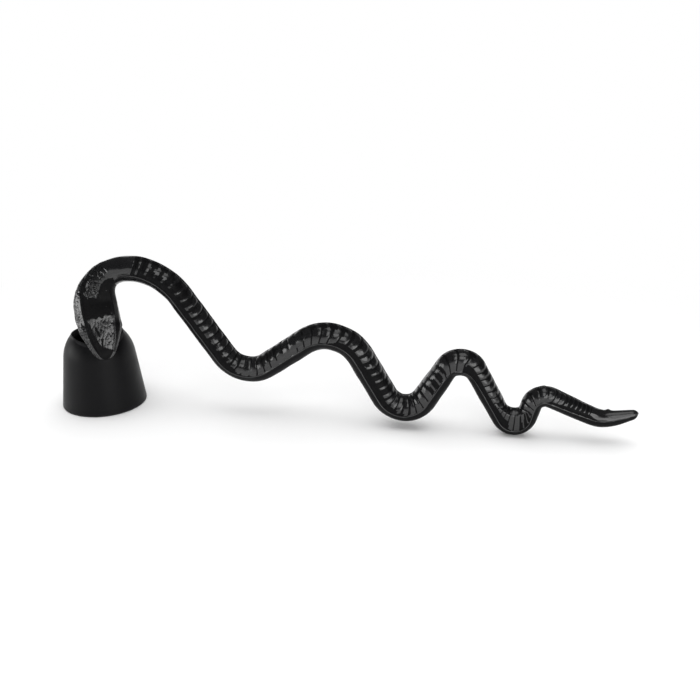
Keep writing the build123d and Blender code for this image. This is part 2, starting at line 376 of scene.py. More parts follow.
def rib_lean(runs, turn, bow):
    """How much nearer the neck a rib lies at its flanks: bow * radius * (1 - cos(angle))."""
    fade = window(runs, 0.0, RIBS_FROM, BEND_START, BEND_END - BEND_START)
    radius = np.interp(runs, RADIUS_RUNS, RADIUS_VALUES)
    return bow * radius * (1 - np.cos(back_angle(turn))) * fade


def belly_edge(runs, turn):
    """Angle round the body past the edge of the ribbed back, below 0 on the back.

    The belly reaches further up the viewer's side near the tail."""
    angle = back_angle(turn)
    return np.abs(angle) - BACK_HALF_SPAN + BELLY_AT_TAIL * (1 - smooth(runs / 0.035)) * (angle < 0)


def new_object(name, data):
    """An object with this data, in the scene."""
    made = bpy.data.objects.new(name, data)
    bpy.context.scene.collection.objects.link(made)
    return made


def object_from(name, points, faces, relief, materials, choice):
    """A smooth mesh object at the origin, each face with its choice of the materials.

    Faces are turned outwards by the sign of the volume they close in."""
    triangles = np.concatenate([faces[:, (0, 1, 2)], faces[:, (0, 2, 3)]])
    corners = points[triangles]
    volume = np.sum(corners[:, 0] * np.cross(corners[:, 1], corners[:, 2]))
    if volume < 0:
        faces = faces[:, ::-1]
    loops = [list(dict.fromkeys(face)) for face in faces.tolist()]
    mesh = bpy.data.meshes.new(name)
    mesh.from_pydata(points.tolist(), [], loops)
    mesh.attributes.new("relief", "FLOAT", "POINT").data.foreach_set("value", relief.astype(np.float32))
    mesh.shade_smooth()
    for material in materials:
        mesh.materials.append(material)
    mesh.polygons.foreach_set("material_index", choice.astype(np.int32))
    return new_object(name, mesh)


def tube_object(name, points, relief, materials, dull_and_shaded=None):
    """A grid of rows by columns that closes round, each end closed on the middle of its last row.

    Faces that start at a place of painted shade take the second material, the darker, duller enamel."""
    rows, columns = points.shape[:2]
    index = np.arange(rows * columns).reshape(rows, columns)
    ahead = np.roll(index, -1, axis=1)
    faces = np.stack([index[:-1], ahead[:-1], ahead[1:], index[1:]], axis=-1).reshape(-1, 4)
    ends = []
    for row, pole in ((0, rows * columns), (rows - 1, rows * columns + 1)):
        fan = np.stack([ahead[row], index[row], np.full(columns, pole), np.full(columns, pole)], axis=-1)
        ends.append(fan if row == 0 else fan[:, (1, 0, 2, 3)])
    poles = points[(0, -1), :].mean(axis=1)
    pole_relief = relief[(0, -1), :].mean(axis=1)
    choice = np.zeros((rows + 1) * columns)
    if dull_and_shaded is not None:
        choice[:(rows - 1) * columns] = dull_and_shaded[:-1].ravel()
    return object_from(
        name,
        np.concatenate([points.reshape(-1, 3), poles]),
        np.concatenate([faces] + ends),
        np.concatenate([relief.ravel(), pole_relief]),
        materials,
        choice,
    )


def ring_object(name, points, relief, material):
    """A grid of rows by columns that closes round both ways."""
    rows, columns = points.shape[:2]
    index = np.arange(rows * columns).reshape(rows, columns)
    ahead = np.roll(index, -1, axis=1)
    faces = np.stack([index, ahead, np.roll(ahead, -1, axis=0), np.roll(index, -1, axis=0)], axis=-1)
    return object_from(
        name,
        points.reshape(-1, 3),
        faces.reshape(-1, 4),
        relief.ravel(),
        [material],
        np.zeros(rows * columns),
    )


def settings():
    """The snuffer's sizes and colours."""
    return bpy.context.scene.snuffer


def attach(piece, body, node):
    """The piece moves with a body and stands for a node, which it hides."""
    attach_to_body(piece, body)
    if node:
        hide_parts(node)


def new_group(name, inputs, outputs):
    """A node group with numbers as sockets, its input node and its output node."""
    group = bpy.data.node_groups.new(name, "ShaderNodeTree")
    for label, default in inputs.items():
        made = group.interface.new_socket(label, in_out="INPUT", socket_type="NodeSocketFloat")
        made.default_value = default
    for label in outputs:
        group.interface.new_socket(label, in_out="OUTPUT", socket_type="NodeSocketFloat")
    return group, group.nodes.new("NodeGroupInput"), group.nodes.new("NodeGroupOutput")


def new_node(tree, kind, values):
    """A node of this kind with values at its named inputs."""
    node = tree.nodes.new(kind)
    for name, value in values.items():
        node.inputs[name].default_value = value
    return node


def wire(tree, source, out, target, into):
    """A link from one node's output to another node's input."""
    tree.links.new(source.outputs[out], target.inputs[into])


def math_node(tree, operation, first, second):
    """A maths node. Each value is a number or a (node, output) pair."""
    node = tree.nodes.new("ShaderNodeMath")
    node.operation = operation
    for index, value in enumerate((first, second)):
        if isinstance(value, tuple):
            tree.links.new(value[0].outputs[value[1]], node.inputs[index])
        else:
            node.inputs[index].default_value = value
    return node


def cast_skin_group():
    """Cast and enamelled skin: uneven lumps of the casting under a fine orange peel of the enamel.

    Height is lumps plus peel, each a noise with its own scale and weight. Patches is a broad noise."""
    group = bpy.data.node_groups.get("Cast Skin")
    if group:
        return group
    inputs = {"Lump Scale": 700.0, "Lump Weight": 1.0, "Peel Scale": 2600.0, "Peel Weight": 0.3}
    group, start, end = new_group("Cast Skin", inputs, ("Height", "Patches"))
    place = group.nodes.new("ShaderNodeTexCoord")
    heights = []
    for layer, detail in (("Lump", 3.0), ("Peel", 2.0)):
        noise = new_node(group, "ShaderNodeTexNoise", {"Detail": detail})
        wire(group, place, "Object", noise, "Vector")
        wire(group, start, layer + " Scale", noise, "Scale")
        heights.append(math_node(group, "MULTIPLY", (noise, "Fac"), (start, layer + " Weight")))
    total = math_node(group, "ADD", (heights[0], 0), (heights[1], 0))
    wire(group, total, 0, end, "Height")
    patches = new_node(group, "ShaderNodeTexNoise", {"Scale": 140.0, "Detail": 4.0})
    wire(group, place, "Object", patches, "Vector")
    wire(group, patches, "Fac", end, "Patches")
    return group


def wear_and_painted_light_group():
    """Wear, dust and painted light from the relief: the worn mask is 1 on its high edges, as wear and,
    on the cup's crown, as a painted highlight, and the dust mask is 1 deep in its grooves, as dust and,
    on the snake, as painted shade.

    Both are straight ramps of the relief, broken up by the patches of a broad noise."""
    group = bpy.data.node_groups.get("Relief Wear and Painted Light")
    if group:
        return group
    group, start, end = new_group("Relief Wear and Painted Light", {"Patches": 0.5}, ("Worn and Highlight", "Dust and Shade"))
    relief = group.nodes.new("ShaderNodeAttribute")
    relief.attribute_name = "relief"
    for out, low, high in (("Worn and Highlight", 0.80, 1.0), ("Dust and Shade", 0.45, 0.0)):
        ramp = new_node(group, "ShaderNodeMapRange", {"From Min": low, "From Max": high})
        wire(group, relief, "Fac", ramp, "Value")
        broken = math_node(group, "MULTIPLY", (ramp, "Result"), (start, "Patches"))
        wire(group, broken, 0, end, out)
    return group


def new_material(name):
    """A material, its node tree and its shader."""
    material = bpy.data.materials.new(name)
    material.use_nodes = True
    return material, material.node_tree, material.node_tree.nodes["Principled BSDF"]


def enamel_material(name, colour, wear_and_highlight_colour, dust_and_shade_colour, roughness, ior, lumps, peel, depth):
    """Black enamel over a casting: lighter on high edges, as wear and, on the cup's crown, as a painted
    highlight; the dust colour and more roughness in grooves, darker on the snake as painted shade.
    """
    material, tree, shader = new_material(name)
    shader.inputs["Metallic"].default_value = 0.0
    shader.inputs["IOR"].default_value = ior
    skin = tree.nodes.new("ShaderNodeGroup")
    skin.node_tree = cast_skin_group()
    skin.inputs["Lump Scale"].default_value, skin.inputs["Lump Weight"].default_value = lumps
    skin.inputs["Peel Scale"].default_value, skin.inputs["Peel Weight"].default_value = peel
    wear_and_light = tree.nodes.new("ShaderNodeGroup")
    wear_and_light.node_tree = wear_and_painted_light_group()
    wire(tree, skin, "Patches", wear_and_light, "Patches")
    # Lighter on high edges: wear, and a painted highlight on the cup's crown lip and bore
    tone = tree.nodes.new("ShaderNodeMix")
    tone.data_type = "RGBA"
    tone.inputs["A"].default_value = (*colour, 1.0)
    tone.inputs["B"].default_value = (*wear_and_highlight_colour, 1.0)
    wire(tree, wear_and_light, "Worn and Highlight", tone, "Factor")
    # The dust colour in grooves: on the snake it is darker, a painted shade
    dust_and_shade_mix = tree.nodes.new("ShaderNodeMix")
    dust_and_shade_mix.data_type = "RGBA"
    dust_and_shade_mix.inputs["B"].default_value = (*dust_and_shade_colour, 1.0)
    wire(tree, wear_and_light, "Dust and Shade", dust_and_shade_mix, "Factor")
    wire(tree, tone, "Result", dust_and_shade_mix, "A")
    wire(tree, dust_and_shade_mix, "Result", shader, "Base Color")
    rough = new_node(tree, "ShaderNodeMapRange", {
        "From Min": 0.3,
        "From Max": 0.7,
        "To Min": roughness - 0.05,
        "To Max": roughness + 0.06,
    })
    wire(tree, skin, "Patches", rough, "Value")
    dull_and_shaded = math_node(tree, "MULTIPLY_ADD", (wear_and_light, "Dust and Shade"), 0.25)
    wire(tree, rough, "Result", dull_and_shaded, 2)
    wire(tree, dull_and_shaded, 0, shader, "Roughness")
    relief = new_node(tree, "ShaderNodeBump", {"Distance": depth})
    wire(tree, skin, "Height", relief, "Height")
    wire(tree, relief, "Normal", shader, "Normal")
    return material


def snake_materials():
    """The snake's gloss enamel, and a darker, duller copy of it that paints shade on its grooves and
    belly.
    """
    own = settings().snake
    gloss = enamel_material(
        "snake_black_enamel", own.colour, own.wear_and_highlight_colour, own.dust_and_shade_colour,
        own.roughness, own.ior, *SNAKE_SKIN, own.skin_depth,
    )
    # Painted shade: a copy of the enamel with the darker dust colour as its base, less gloss and more
    # roughness
    painted_shade_enamel = enamel_material(
        "snake_black_painted_shade", own.dust_and_shade_colour, own.colour, own.dust_and_shade_colour,
        own.shade_roughness, own.shade_ior, *SNAKE_SKIN, own.skin_depth,
    )
    return gloss, painted_shade_enamel


def snake_rows():
    """Runs of the snake's rows from tail to snout, how deep the groove is in each and how dull it is.

    The pitch grows from the tail as N - (N - T) exp(-x / L), so rib k lies at
    x = L ln((N - T + T exp(k N / L)) / N). A rib rises steeply on its tail side and falls slowly."""
    own = settings().snake
    last, first = own.rib_pitch_neck, own.rib_pitch_tail
    reach = RIBS_TO - RIBS_FROM
    span = own.rib_pitch_reach
    count = round(span / last * math.log((last * math.exp(reach / span) - last + first) / first))
    steps = (np.arange(count)[:, None] + RIB_ROWS).ravel()
    ribs = RIBS_FROM + span * np.log((last - first + first * np.exp(steps * last / span)) / last)
    phase = np.tile(RIB_ROWS, count)
    crest = RIB_ROWS[2]
    fall = 1 - 0.75 * (np.maximum(phase - crest, 0.0) / (1 - crest)) ** 1.3
    height = np.where(phase <= crest, smooth(phase / crest), fall)
    rib = np.floor(steps)
    uneven = 1 + 0.25 * np.sin(2.4 * rib) + 0.18 * np.sin(5.1 * rib + 1.0)
    fade = smooth((ribs - RIBS_FROM) / 0.010)
    cap = TAIL_TIP_RADIUS * (1 - np.cos(np.linspace(math.radians(8), math.pi / 2, 9)))
    plain = np.linspace(TAIL_TIP_RADIUS, RIBS_FROM, 28)[1:-1]
    neck = np.linspace(max(RIBS_TO, ribs[-1] + 0.0003), PATH_LENGTH - SNOUT_ROUND, 200)
    snout = PATH_LENGTH - SNOUT_ROUND * (1 - np.sin(np.linspace(0.0, math.radians(84), 8)[1:]))
    runs = np.concatenate([cap, plain, ribs, neck, snout])
    dips = np.zeros(runs.shape)
    cuts = np.full(runs.shape, -9.0)
    ribbed = slice(len(cap) + len(plain), len(cap) + len(plain) + len(ribs))
    dips[ribbed] = (1 - height) * uneven * fade
    cuts[ribbed] = RIB_CUTS[np.tile(np.arange(len(RIB_ROWS)), count)]
    return runs, dips, cuts


def three_point_arc(first, middle, last, share):
    """Points on the circle through three points, at a share of the way from first to last.

    The centre is where the middle lines of the chords cross. The sweep goes through the middle point."""
    (ax, ay), (mx, my), (bx, by) = first, middle, last
    a, m, b = ax ** 2 + ay ** 2, mx ** 2 + my ** 2, bx ** 2 + by ** 2
    double = 2 * (ax * (my - by) + mx * (by - ay) + bx * (ay - my))
    x = (a * (my - by) + m * (by - ay) + b * (ay - my)) / double
    y = (a * (bx - mx) + m * (ax - bx) + b * (mx - ax)) / double
    start = np.arctan2(ay - y, ax - x)
    sweep = (np.arctan2(by - y, bx - x) - start) % (2 * math.pi)
    passed = (np.arctan2(my - y, mx - x) - start) % (2 * math.pi)
    sweep = np.where(passed > sweep, sweep - 2 * math.pi, sweep)
    radius = np.hypot(ax - x, ay - y)
    angle = start + sweep * share
    return x + radius * np.cos(angle), y + radius * np.sin(angle)


def blended_rows(table, places):
    """Rows of a table at given places, on smooth curves through its rows.

    They are cubic pieces whose slope at a row is that of the line between its neighbours."""
    at = table[:, 0]
    slopes = np.gradient(table[:, 1:], at, axis=0)
    index = np.clip(np.searchsorted(at, places) - 1, 0, len(at) - 2)
    gap = (at[index + 1] - at[index])[:, None]
    t = np.clip((places - at[index])[:, None] / gap, 0.0, 1.0)
    low, high = table[index, 1:], table[index + 1, 1:]
    return (
        (2 * t ** 3 - 3 * t ** 2 + 1) * low + (t ** 3 - 2 * t ** 2 + t) * gap * slopes[index]
        + (3 * t ** 2 - 2 * t ** 3) * high + (t ** 3 - t ** 2) * gap * slopes[index + 1]
    )


def head_arcs(runs):
    """Across and up of every point of the head's sections: four arcs through corners and middles."""
    along = CORNER_RUN + runs - BEND_END
    wide, crown_half, crown, lips, under_half, depth = blended_rows(HEAD_SECTIONS, along).T
    swell = CROWN_SWELL * crown_half / HEAD_SECTIONS[0, 2]
    none = np.zeros_like(wide)
    corners = np.stack([
        np.stack([crown_half, none, -crown_half, -wide, -under_half, none, under_half, wide]),
        np.stack([crown, crown + swell, crown, lips, -depth, -depth - UNDERSIDE_SWELL, -depth, lips]),
    ])
    arcs = []
    for arc, count in enumerate(ARC_COLUMNS):
        picks = [corners[:, (2 * arc + step) % 8, :, None] for step in range(3)]
        arcs.append(three_point_arc(*picks, np.linspace(0.0, 1.0, count, endpoint=False)))
    return [np.concatenate(part, axis=1) for part in zip(*arcs)]


def snake_sections(row, shifted, turn):
    """Across and up of every point: circles on the body, arcs on the head, mixed over the neck's bend.

    At the tail's tip and at the snout's end the section shrinks by sqrt(1 - t^2)."""
    slim = 1 - TAIL_POINT * (1 - smooth(row / 0.007))
    radius = np.interp(shifted, RADIUS_RUNS, RADIUS_VALUES) * slim
    head_x, head_y = head_arcs(row[:, 0])
    share = head_share(row)
    across = radius * np.cos(turn) * (1 - share) + head_x * share
    up = radius * np.sin(turn) * (1 - share) + head_y * share
    tail = np.clip(1 - row / TAIL_TIP_RADIUS, 0.0, 1.0)
    snout = np.clip((row - PATH_LENGTH + SNOUT_ROUND) / SNOUT_ROUND, 0.0, 1.0)
    shrink = np.sqrt(1 - tail ** 2) * np.sqrt(1 - snout ** 2)
    return across * shrink, up * shrink


def body_relief(row, turn, dips, own):
    """Lift of the body's skin and its relief: the ribs' grooves on the back, a bead beside the belly
    with a groove above it, the nub on top of the tail and the casting's uneven waves and grain."""
    radius = np.interp(row, RADIUS_RUNS, RADIUS_VALUES)
    edge = belly_edge(row, turn)
    uneven = 0.8 + 0.4 * ripple(row / 0.004, turn * 2.2, 3.1)
    groove = dips[:, None] * (1 - smooth(edge / 0.2 + 1)) * uneven
    ribbed = window(row, RIBS_FROM * 0.5, RIBS_FROM, BEND_START, 0.012)
    bead = bump(edge, 0.0, math.radians(3.0)) - 1.2 * bump(edge, math.radians(-6.5), math.radians(3.2))
    grain = np.sin(row / 0.0011 + 6.0 * turn) * bump(edge, math.radians(-20), math.radians(22))
    waves = ripple(row / 0.0016, turn * 3.4, 0.4)
    nub = bump(row, NUB_AT, 0.0008) * bump(turn, NUB_TURN, 0.25)
    lift = own.line_depth * bead * ribbed - radius * own.rib_depth * groove + own.nub_height * nub
    lift = lift - own.hammer_depth * (1 + 0.6 * waves + 0.4 * grain) * smooth(row / RIBS_FROM)
    return lift, np.clip(0.85 - groove + 0.3 * bead * ribbed, 0.0, 1.0)


def head_relief(along, girth, place, own):
    """Lift of the head's skin and its relief: ridges beside the crown, beads on the lips between
    grooves, cheeks flattened above the lips, a brow that steps down to the snout's plate, and
    hammered scales of three sizes.

    The scales on the neck and on the left cheek are as long as wide, and those on the plate are
    drawn out to streaks. The crown between neck and plate and the right cheek are smooth."""
    crown = smooth((1.04 - np.abs(place - 0.5) * 2) / 0.14) + smooth((place - 3.96) / 0.05)
    cheek = smooth((0.54 - np.abs(place - LEFT_LIP)) / 0.12)
    upper = 1 - smooth((np.abs(place - 2.5) - 0.9) / -0.25)
    ridge = bump(place, 0.0, 0.06) + bump(place, 4.0, 0.06) + bump(place, 1.0, 0.06)
    ridge = ridge * smooth((along - 0.006) / 0.006) * (1 - smooth((along - 0.0325) / 0.0024))
    mouth = smooth((along - MOUTH_FROM) / 0.004)
    lips = (bump(place, LEFT_LIP, 0.035) + bump(place, RIGHT_LIP, 0.035)) * mouth
    beside = bump(place, 1.40, 0.04) + bump(place, 3.60, 0.04)
    below = (bump(place, 1.64, 0.05) + bump(place, 3.36, 0.05)) * mouth
    brow = PLATE_FROM + 0.0012 * (girth / 0.005) ** 2
    plate = window(along, brow, 0.0026, PLATE_TO, 0.0030) * crown

    on_neck = window(along, -0.004, 0.004, 0.0098, 0.0022) * upper
    on_neck = on_neck * smooth((place - 0.25) / 0.3) * (1 - smooth((place - 1.6) / 0.3))
    on_cheek = window(along, 0.008, 0.004, 0.0340, 0.001) * cheek
    neck_groove, neck_tilt = hammered(along / NECK_SCALE[0], girth / NECK_SCALE[1])
    cheek_groove, cheek_tilt = hammered(along / CHEEK_SCALE[0], girth / CHEEK_SCALE[1] + 40.0)
    streak_groove, streak_tilt = hammered(along / PLATE_STREAK[0] + 90.0, girth / PLATE_STREAK[1])
    scales = on_neck * neck_groove + 0.8 * on_cheek * cheek_groove + 0.45 * plate * streak_groove
    tilts = on_neck * neck_tilt + 0.6 * on_cheek * cheek_tilt + 0.3 * plate * streak_tilt

    lift = own.ridge_height * (ridge + lips) - own.ridge_height * 0.9 * beside * mouth
    lift = lift - LIP_GROOVE * below
    left, right = (np.clip(share / 0.5, 0.0, 1.0) for share in (place - 1.0, 4.0 - place))
    flat = np.sin(math.pi * left) + np.sin(math.pi * right)
    flat = own.cheek_flat * flat * smooth((along - 0.010) / 0.006)
    lift = lift - flat * (1 - smooth((along - 0.031) / 0.003))
    tilts = tilts - 0.5 * np.abs(tilts)
    lift = lift - own.brow_step * plate - own.scale_depth * scales + own.facet_depth * tilts
    waves = ripple(along / 0.0013, girth / 0.0013, 0.7)
    lift = lift - own.hammer_depth * (1 + 0.5 * waves)
    return lift, np.clip(0.7 - 0.7 * scales - 0.5 * below + 0.25 * (ridge + lips), 0.0, 1.0)


def shaded_head_zones(along, girth, place):
    """Where the head takes the darker, duller enamel as painted shade: the smooth crown above the
    snout's plate, further up on its right half, the margin beside the left cheek, part of the plate's
    left half, the snout's end, the right side of the neck's bend and the band beside the right lip.

    Soft masks are cut off at a level that changes with fine uneven waves, so their edges are mottled.
    The waves are drawn out along the plate."""
    streak = 1 + smooth((along - 0.016) / 0.003)
    specks = ripple(along / (0.0004 * streak), girth / 0.00042, 0.9)
    specks = 0.5 * (specks + ripple(along / (0.0011 * streak), girth / 0.0010, 2.9))
    start = 0.0105 - 0.016 * smooth((0.48 - place) / 0.2)
    brow = 0.0186 + 0.0014 * smooth((place - 0.25) / 0.5)
    zone = smooth((along - start) / 0.005 + 0.5) * smooth((brow - along) / 0.005 + 0.5)
    limit = 0.88 - 0.30 * smooth((along - 0.019) / 0.013)
    margin = smooth((place - limit) / 0.16 + 0.5) * smooth((along - 0.003) / 0.004)
    faded = 0.53 * smooth((place - 0.3) / 0.3) * (along > 0.018)
    end = smooth((along - 0.0305) / 0.005 + 0.5)
    crown = (place < 1.03) | (place > 3.97)
    band = (place > 3.66) & (along > 0.010) & (along < 0.0325)
    band = band | (place > 3.2) & (along > -0.004) & (along <= 0.010)
    dull_and_shaded = np.maximum(np.maximum(zone, margin), np.maximum(faded, end))
    return crown & (dull_and_shaded > 0.55 + 0.5 * specks) | band


def web(points, turn, near):
    """Points with the inside of two tight bends filled up.

    The skin facing into the bend is raised to z = z0 + (x - x0)^2 / 2R - y^2 / 2S in a trough and
    lowered in the same way in a crest. The join is round: half of the sum of the two heights and of
    the root of their squared difference plus a small square."""
    x, y, z = np.moveaxis(points, -1, 0)
    for x0, z0, bend, sense, middle in WEBS:
        fill = z0 + sense * ((x - x0) ** 2 / (2 * bend) - y ** 2 / (2 * WEB_ROUND))
        filled = (z + fill + sense * np.sqrt((z - fill) ** 2 + WEB_JOIN ** 2)) / 2
        facing = smooth((np.cos(turn - middle) + 0.1) / 0.5)
        inside = facing * smooth((0.011 - np.abs(x - x0)) / 0.004) * near
        z = z + (filled - z) * inside
    return np.stack([x, y, z], axis=-1)


def snake_points():
    """The snake from its tail's tip to its snout as one grid of points, with its relief and where it
    takes the darker, duller enamel as painted shade: in the ribs' grooves, on the lower flank of rising
    runs, on the belly and on the head.

    A point is path + across * side + up * back. Rows follow the ribs, which lie nearer the neck at
    their flanks and wander a little, and the tail's end, which is slanted so that its top reaches
    furthest. The skin's relief lifts or lowers it along the normal in the section's plane."""
    own = settings().snake
    runs, dips, cuts = snake_rows()
    place = np.concatenate([
        arc + np.linspace(0.0, 1.0, count, endpoint=False) for arc, count in enumerate(ARC_COLUMNS)
    ])
    turn = np.interp(place, (0, 1, 2, 3, 4), ARC_TURNS)[None, :]
    row = runs[:, None]
    ribbed = smooth((row - RIBS_FROM) / 0.006) * smooth((BEND_START - row) / 0.01)
    wander = own.rib_wander * ripple(row / 0.005, turn * 2.0, 2.2) * ribbed
    shifted = row + rib_lean(row, turn, own.rib_bow) + wander
    shifted = shifted + own.tail_slant * (0.5 + 0.5 * np.cos(turn)) * (1 - smooth(row / 0.010))
    across, up = snake_sections(row, shifted, turn)
    normal_x = np.roll(up, -1, axis=1) - np.roll(up, 1, axis=1)
    normal_y = np.roll(across, 1, axis=1) - np.roll(across, -1, axis=1)
    size = np.hypot(normal_x, normal_y)
    step = np.hypot(np.roll(across, -1, axis=1) - across, np.roll(up, -1, axis=1) - up)
    girth = np.cumsum(step, axis=1) - step
    girth = girth - girth[:, [ARC_COLUMNS[0] // 2]]
    girth = np.where(place > 2.5, girth - step.sum(axis=1, keepdims=True), girth)

    body_lift, body_high = body_relief(row, turn % (2 * math.pi), dips, own)
    along = np.broadcast_to(CORNER_RUN + row - BEND_END, across.shape)
    head_lift, head_high = head_relief(along, girth, place[None, :], own)
    share = smooth((row - BEND_START + 0.004) / 0.006)
    lift = body_lift * (1 - share) + head_lift * share - SKIN_INSET
    ends = np.clip(row / TAIL_TIP_RADIUS, 0.0, 1.0)
    lift = lift * (ends * np.clip((PATH_LENGTH - row) / SNOUT_ROUND, 0.0, 1.0))
    across, up = across + normal_x / size * lift, up + normal_y / size * lift
    across = across - own.tail_lift * (1 - smooth(row / 0.008))
    places, ways, sides, backs = along_path(shifted)
    points = web(places + across[..., None] * sides + up[..., None] * backs, turn, row < RIBS_TO)
    # Painted shade: these masks pick the faces that take the darker, duller enamel
    edge = belly_edge(row, turn % (2 * math.pi))
    ragged = ripple(row / 0.004, turn * 3.0, 5.0)
    steep = smooth(ways[..., 2] / 0.5)
    cut = cuts[:, None] + 0.4 * steep + 0.9 * bump(row, RIBS_TO, 0.016)
    cut = (cut > 0.2 + ragged) & (edge < -0.08)
    flank = (edge > -0.5 * steep + 0.1 * ragged) & (edge < -0.03) & (turn < BACK_TURN)
    below = (back_angle(turn) < 0) & (back_angle(turn) > math.radians(-170.0))
    belly = below & (edge > 0.03 + 0.9 * smooth((row - 0.225) / 0.03))
    on_head = (head_high < 0.26) | shaded_head_zones(along, girth, place)
    dull_and_shaded = np.where(share > 0.5, on_head, cut | flank | belly)
    return points, body_high * (1 - share) + head_high * share, dull_and_shaded


def lower_jaw_points():
    """The lower jaw from its root in the throat to its round tip: ovals along a straight line.

    Past the start of the tip both half sizes follow sqrt(1 - t^2)."""
    own = settings().snake
    tip_round = np.sin(np.linspace(0.0, math.radians(86), 16))[1:]
    share = np.concatenate([
        np.linspace(0.0, JAW_TIP_FROM, 70),
        JAW_TIP_FROM + (1 - JAW_TIP_FROM) * tip_round,
    ])
    turns = ring_turns(JAW_COLUMNS)[None, :]
    top, tip = head_point(*JAW_TOP), head_point(*JAW_TIP)
    line = tip - top
    back = unit(HEAD_OUT - unit(line) * (unit(line) @ HEAD_OUT))
    side = np.cross(back, unit(line))
    places, widths = np.array(JAW_HALF_WIDTHS).T
    t = np.clip((share - JAW_TIP_FROM) / (1 - JAW_TIP_FROM), 0.0, 1.0)
    shrink = np.sqrt(1 - t ** 2)
    half_width = np.interp(share, places, widths) * shrink
    half_thick = JAW_HALF_THICKNESS * shrink
    waves = own.hammer_depth * (1 + ripple(share[:, None] / 0.06, turns * 3, 1.9))
    x = (half_width[:, None] - waves) * np.cos(turns)
    y = (half_thick[:, None] - waves * shrink[:, None]) * np.sin(turns)
    centres = top + line * share[:, None]
    points = centres[:, None, :] + x[..., None] * side + y[..., None] * back
    return points, np.full(points.shape[:2], PLAIN_RELIEF)


def shoulder_arc():
    """Radius and height of the centre of the cup's shoulder, and the size of its round.

    The round touches the tapered side and ends at the crown's edge."""
    radius, height = CUP_MOUTH_RADIUS - CUP_TAPER, CUP_HEIGHT - CUP_SHOULDER_DROP
    lean = math.atan2(CUP_TAPER, height)
    across = CROWN_INSET - CUP_TAPER
    size = (across ** 2 + CUP_SHOULDER_DROP ** 2) / (
        2 * (across * math.cos(lean) - CUP_SHOULDER_DROP * math.sin(lean)))
    return radius - size * math.cos(lean), height - size * math.sin(lean), size


def wall_radius(height, inset):
    """The cup's radius at a height: a straight taper up to the shoulder, then its round.

    Both are moved inwards by the inset."""
    radius, centre, size = shoulder_arc()
    lean = math.atan2(CUP_TAPER, CUP_HEIGHT - CUP_SHOULDER_DROP)
    straight = CUP_MOUTH_RADIUS - inset / math.cos(lean) - height * math.tan(lean)
    round_part = radius + np.sqrt(np.maximum((size - inset) ** 2 - (height - centre) ** 2, 0.0))
    starts = centre + (size - inset) * math.sin(lean)
    return np.where(height < starts, straight, round_part)


def rounded_corner(before, corner, after, size):
    """Five points that round a corner: a parabola that touches both sides at this distance from it."""
    first = corner + (before - corner) * (size / np.linalg.norm(before - corner, axis=-1, keepdims=True))
    last = corner + (after - corner) * (size / np.linalg.norm(after - corner, axis=-1, keepdims=True))
    return [
        (1 - t) ** 2 * first + 2 * t * (1 - t) * corner + t ** 2 * last for t in np.linspace(0.0, 1.0, 5)
    ]


def cup_points():
    """The bell as a closed profile for each angle round its axis: up the outside, over the crown's edge,
    down the bore and the inside and round the rim.

    The crown's edge is the lower of the bore's edge and a slanted plane, which falls towards the head
    by the tangent of its slope. Steps of z = plane(radius(z)) find where the outside meets it."""
    own = settings().cup
    turns = ring_turns(CUP_COLUMNS)
    crown_radius = CUP_MOUTH_RADIUS - CROWN_INSET
    notch = CUP_HEIGHT - CROWN_NOTCH_DROP
    notch_out = wall_radius(np.array(notch), 0.0)
    toward = np.cos(turns - (HEAD_TURN - math.pi / 2))

    def plane(radius):
        return notch - (radius * toward - notch_out) * math.tan(CROWN_NOTCH_SLOPE)

    outer_top = np.full(turns.shape, CUP_HEIGHT)
    for _ in range(12):
        outer_top = np.minimum(CUP_HEIGHT, plane(wall_radius(outer_top, 0.0)))
    inner_top = np.minimum(CUP_HEIGHT + CROWN_RISE, plane(crown_radius))
    middle, centre, size = shoulder_arc()
    bore_foot = centre + math.sqrt((size - CUP_WALL) ** 2 - (crown_radius - middle) ** 2)

    def at(radius, height):
        pair = (np.broadcast_to(value, turns.shape) for value in (radius, height))
        return np.stack(list(pair), axis=-1)

    def wall(start, end, inset, shares):
        heights = [start + (end - start) * share for share in shares]
        return [at(wall_radius(height, inset), height) for height in heights]

    rim_out = at(CUP_MOUTH_RADIUS, 0.0)
    rim_in = at(wall_radius(np.array(0.0), CUP_WALL), 0.0)
    top_out = at(np.maximum(wall_radius(outer_top, 0.0), crown_radius + CROWN_LAND), outer_top)
    top_in = at(crown_radius, inner_top)
    rise = np.linspace(0.0, 1.0, 60)
    low, high = own.rim_round, outer_top - own.lip_round
    outside = wall(low, high, 0.0, rise)
    lip = rounded_corner(outside[-1], top_out, top_in, own.lip_round * 0.9)
    lip += rounded_corner(top_out, top_in, at(crown_radius, bore_foot), own.lip_round * 0.4)
    bore_fall = bore_foot - inner_top + own.lip_round
    bore = [at(crown_radius, inner_top - own.lip_round + bore_fall * t) for t in rise[::20]]
    inside = wall(bore_foot, low, CUP_WALL, rise[1::2])
    rim = rounded_corner(inside[-1], rim_in, rim_out, own.rim_round)
    rim += rounded_corner(rim_in, rim_out, outside[0], own.rim_round)
    profile = np.stack(outside[:-1] + lip + bore + inside + rim)
    radius, height = profile[..., 0], profile[..., 1]
    points = np.stack([radius * np.cos(turns), radius * np.sin(turns), height], axis=-1)
    relief = np.full(radius.shape, PLAIN_RELIEF)
    edge = len(outside) - 1
    # Painted highlight on the crown's lip and painted light in the bore: they take the lighter worn
    # colour; the rim's edges are wear
    relief[edge:edge + len(lip) + len(bore)] = WORN_AND_HIGHLIGHT_RELIEF
    relief[-len(rim):] = WORN_AND_HIGHLIGHT_RELIEF
    return points, relief


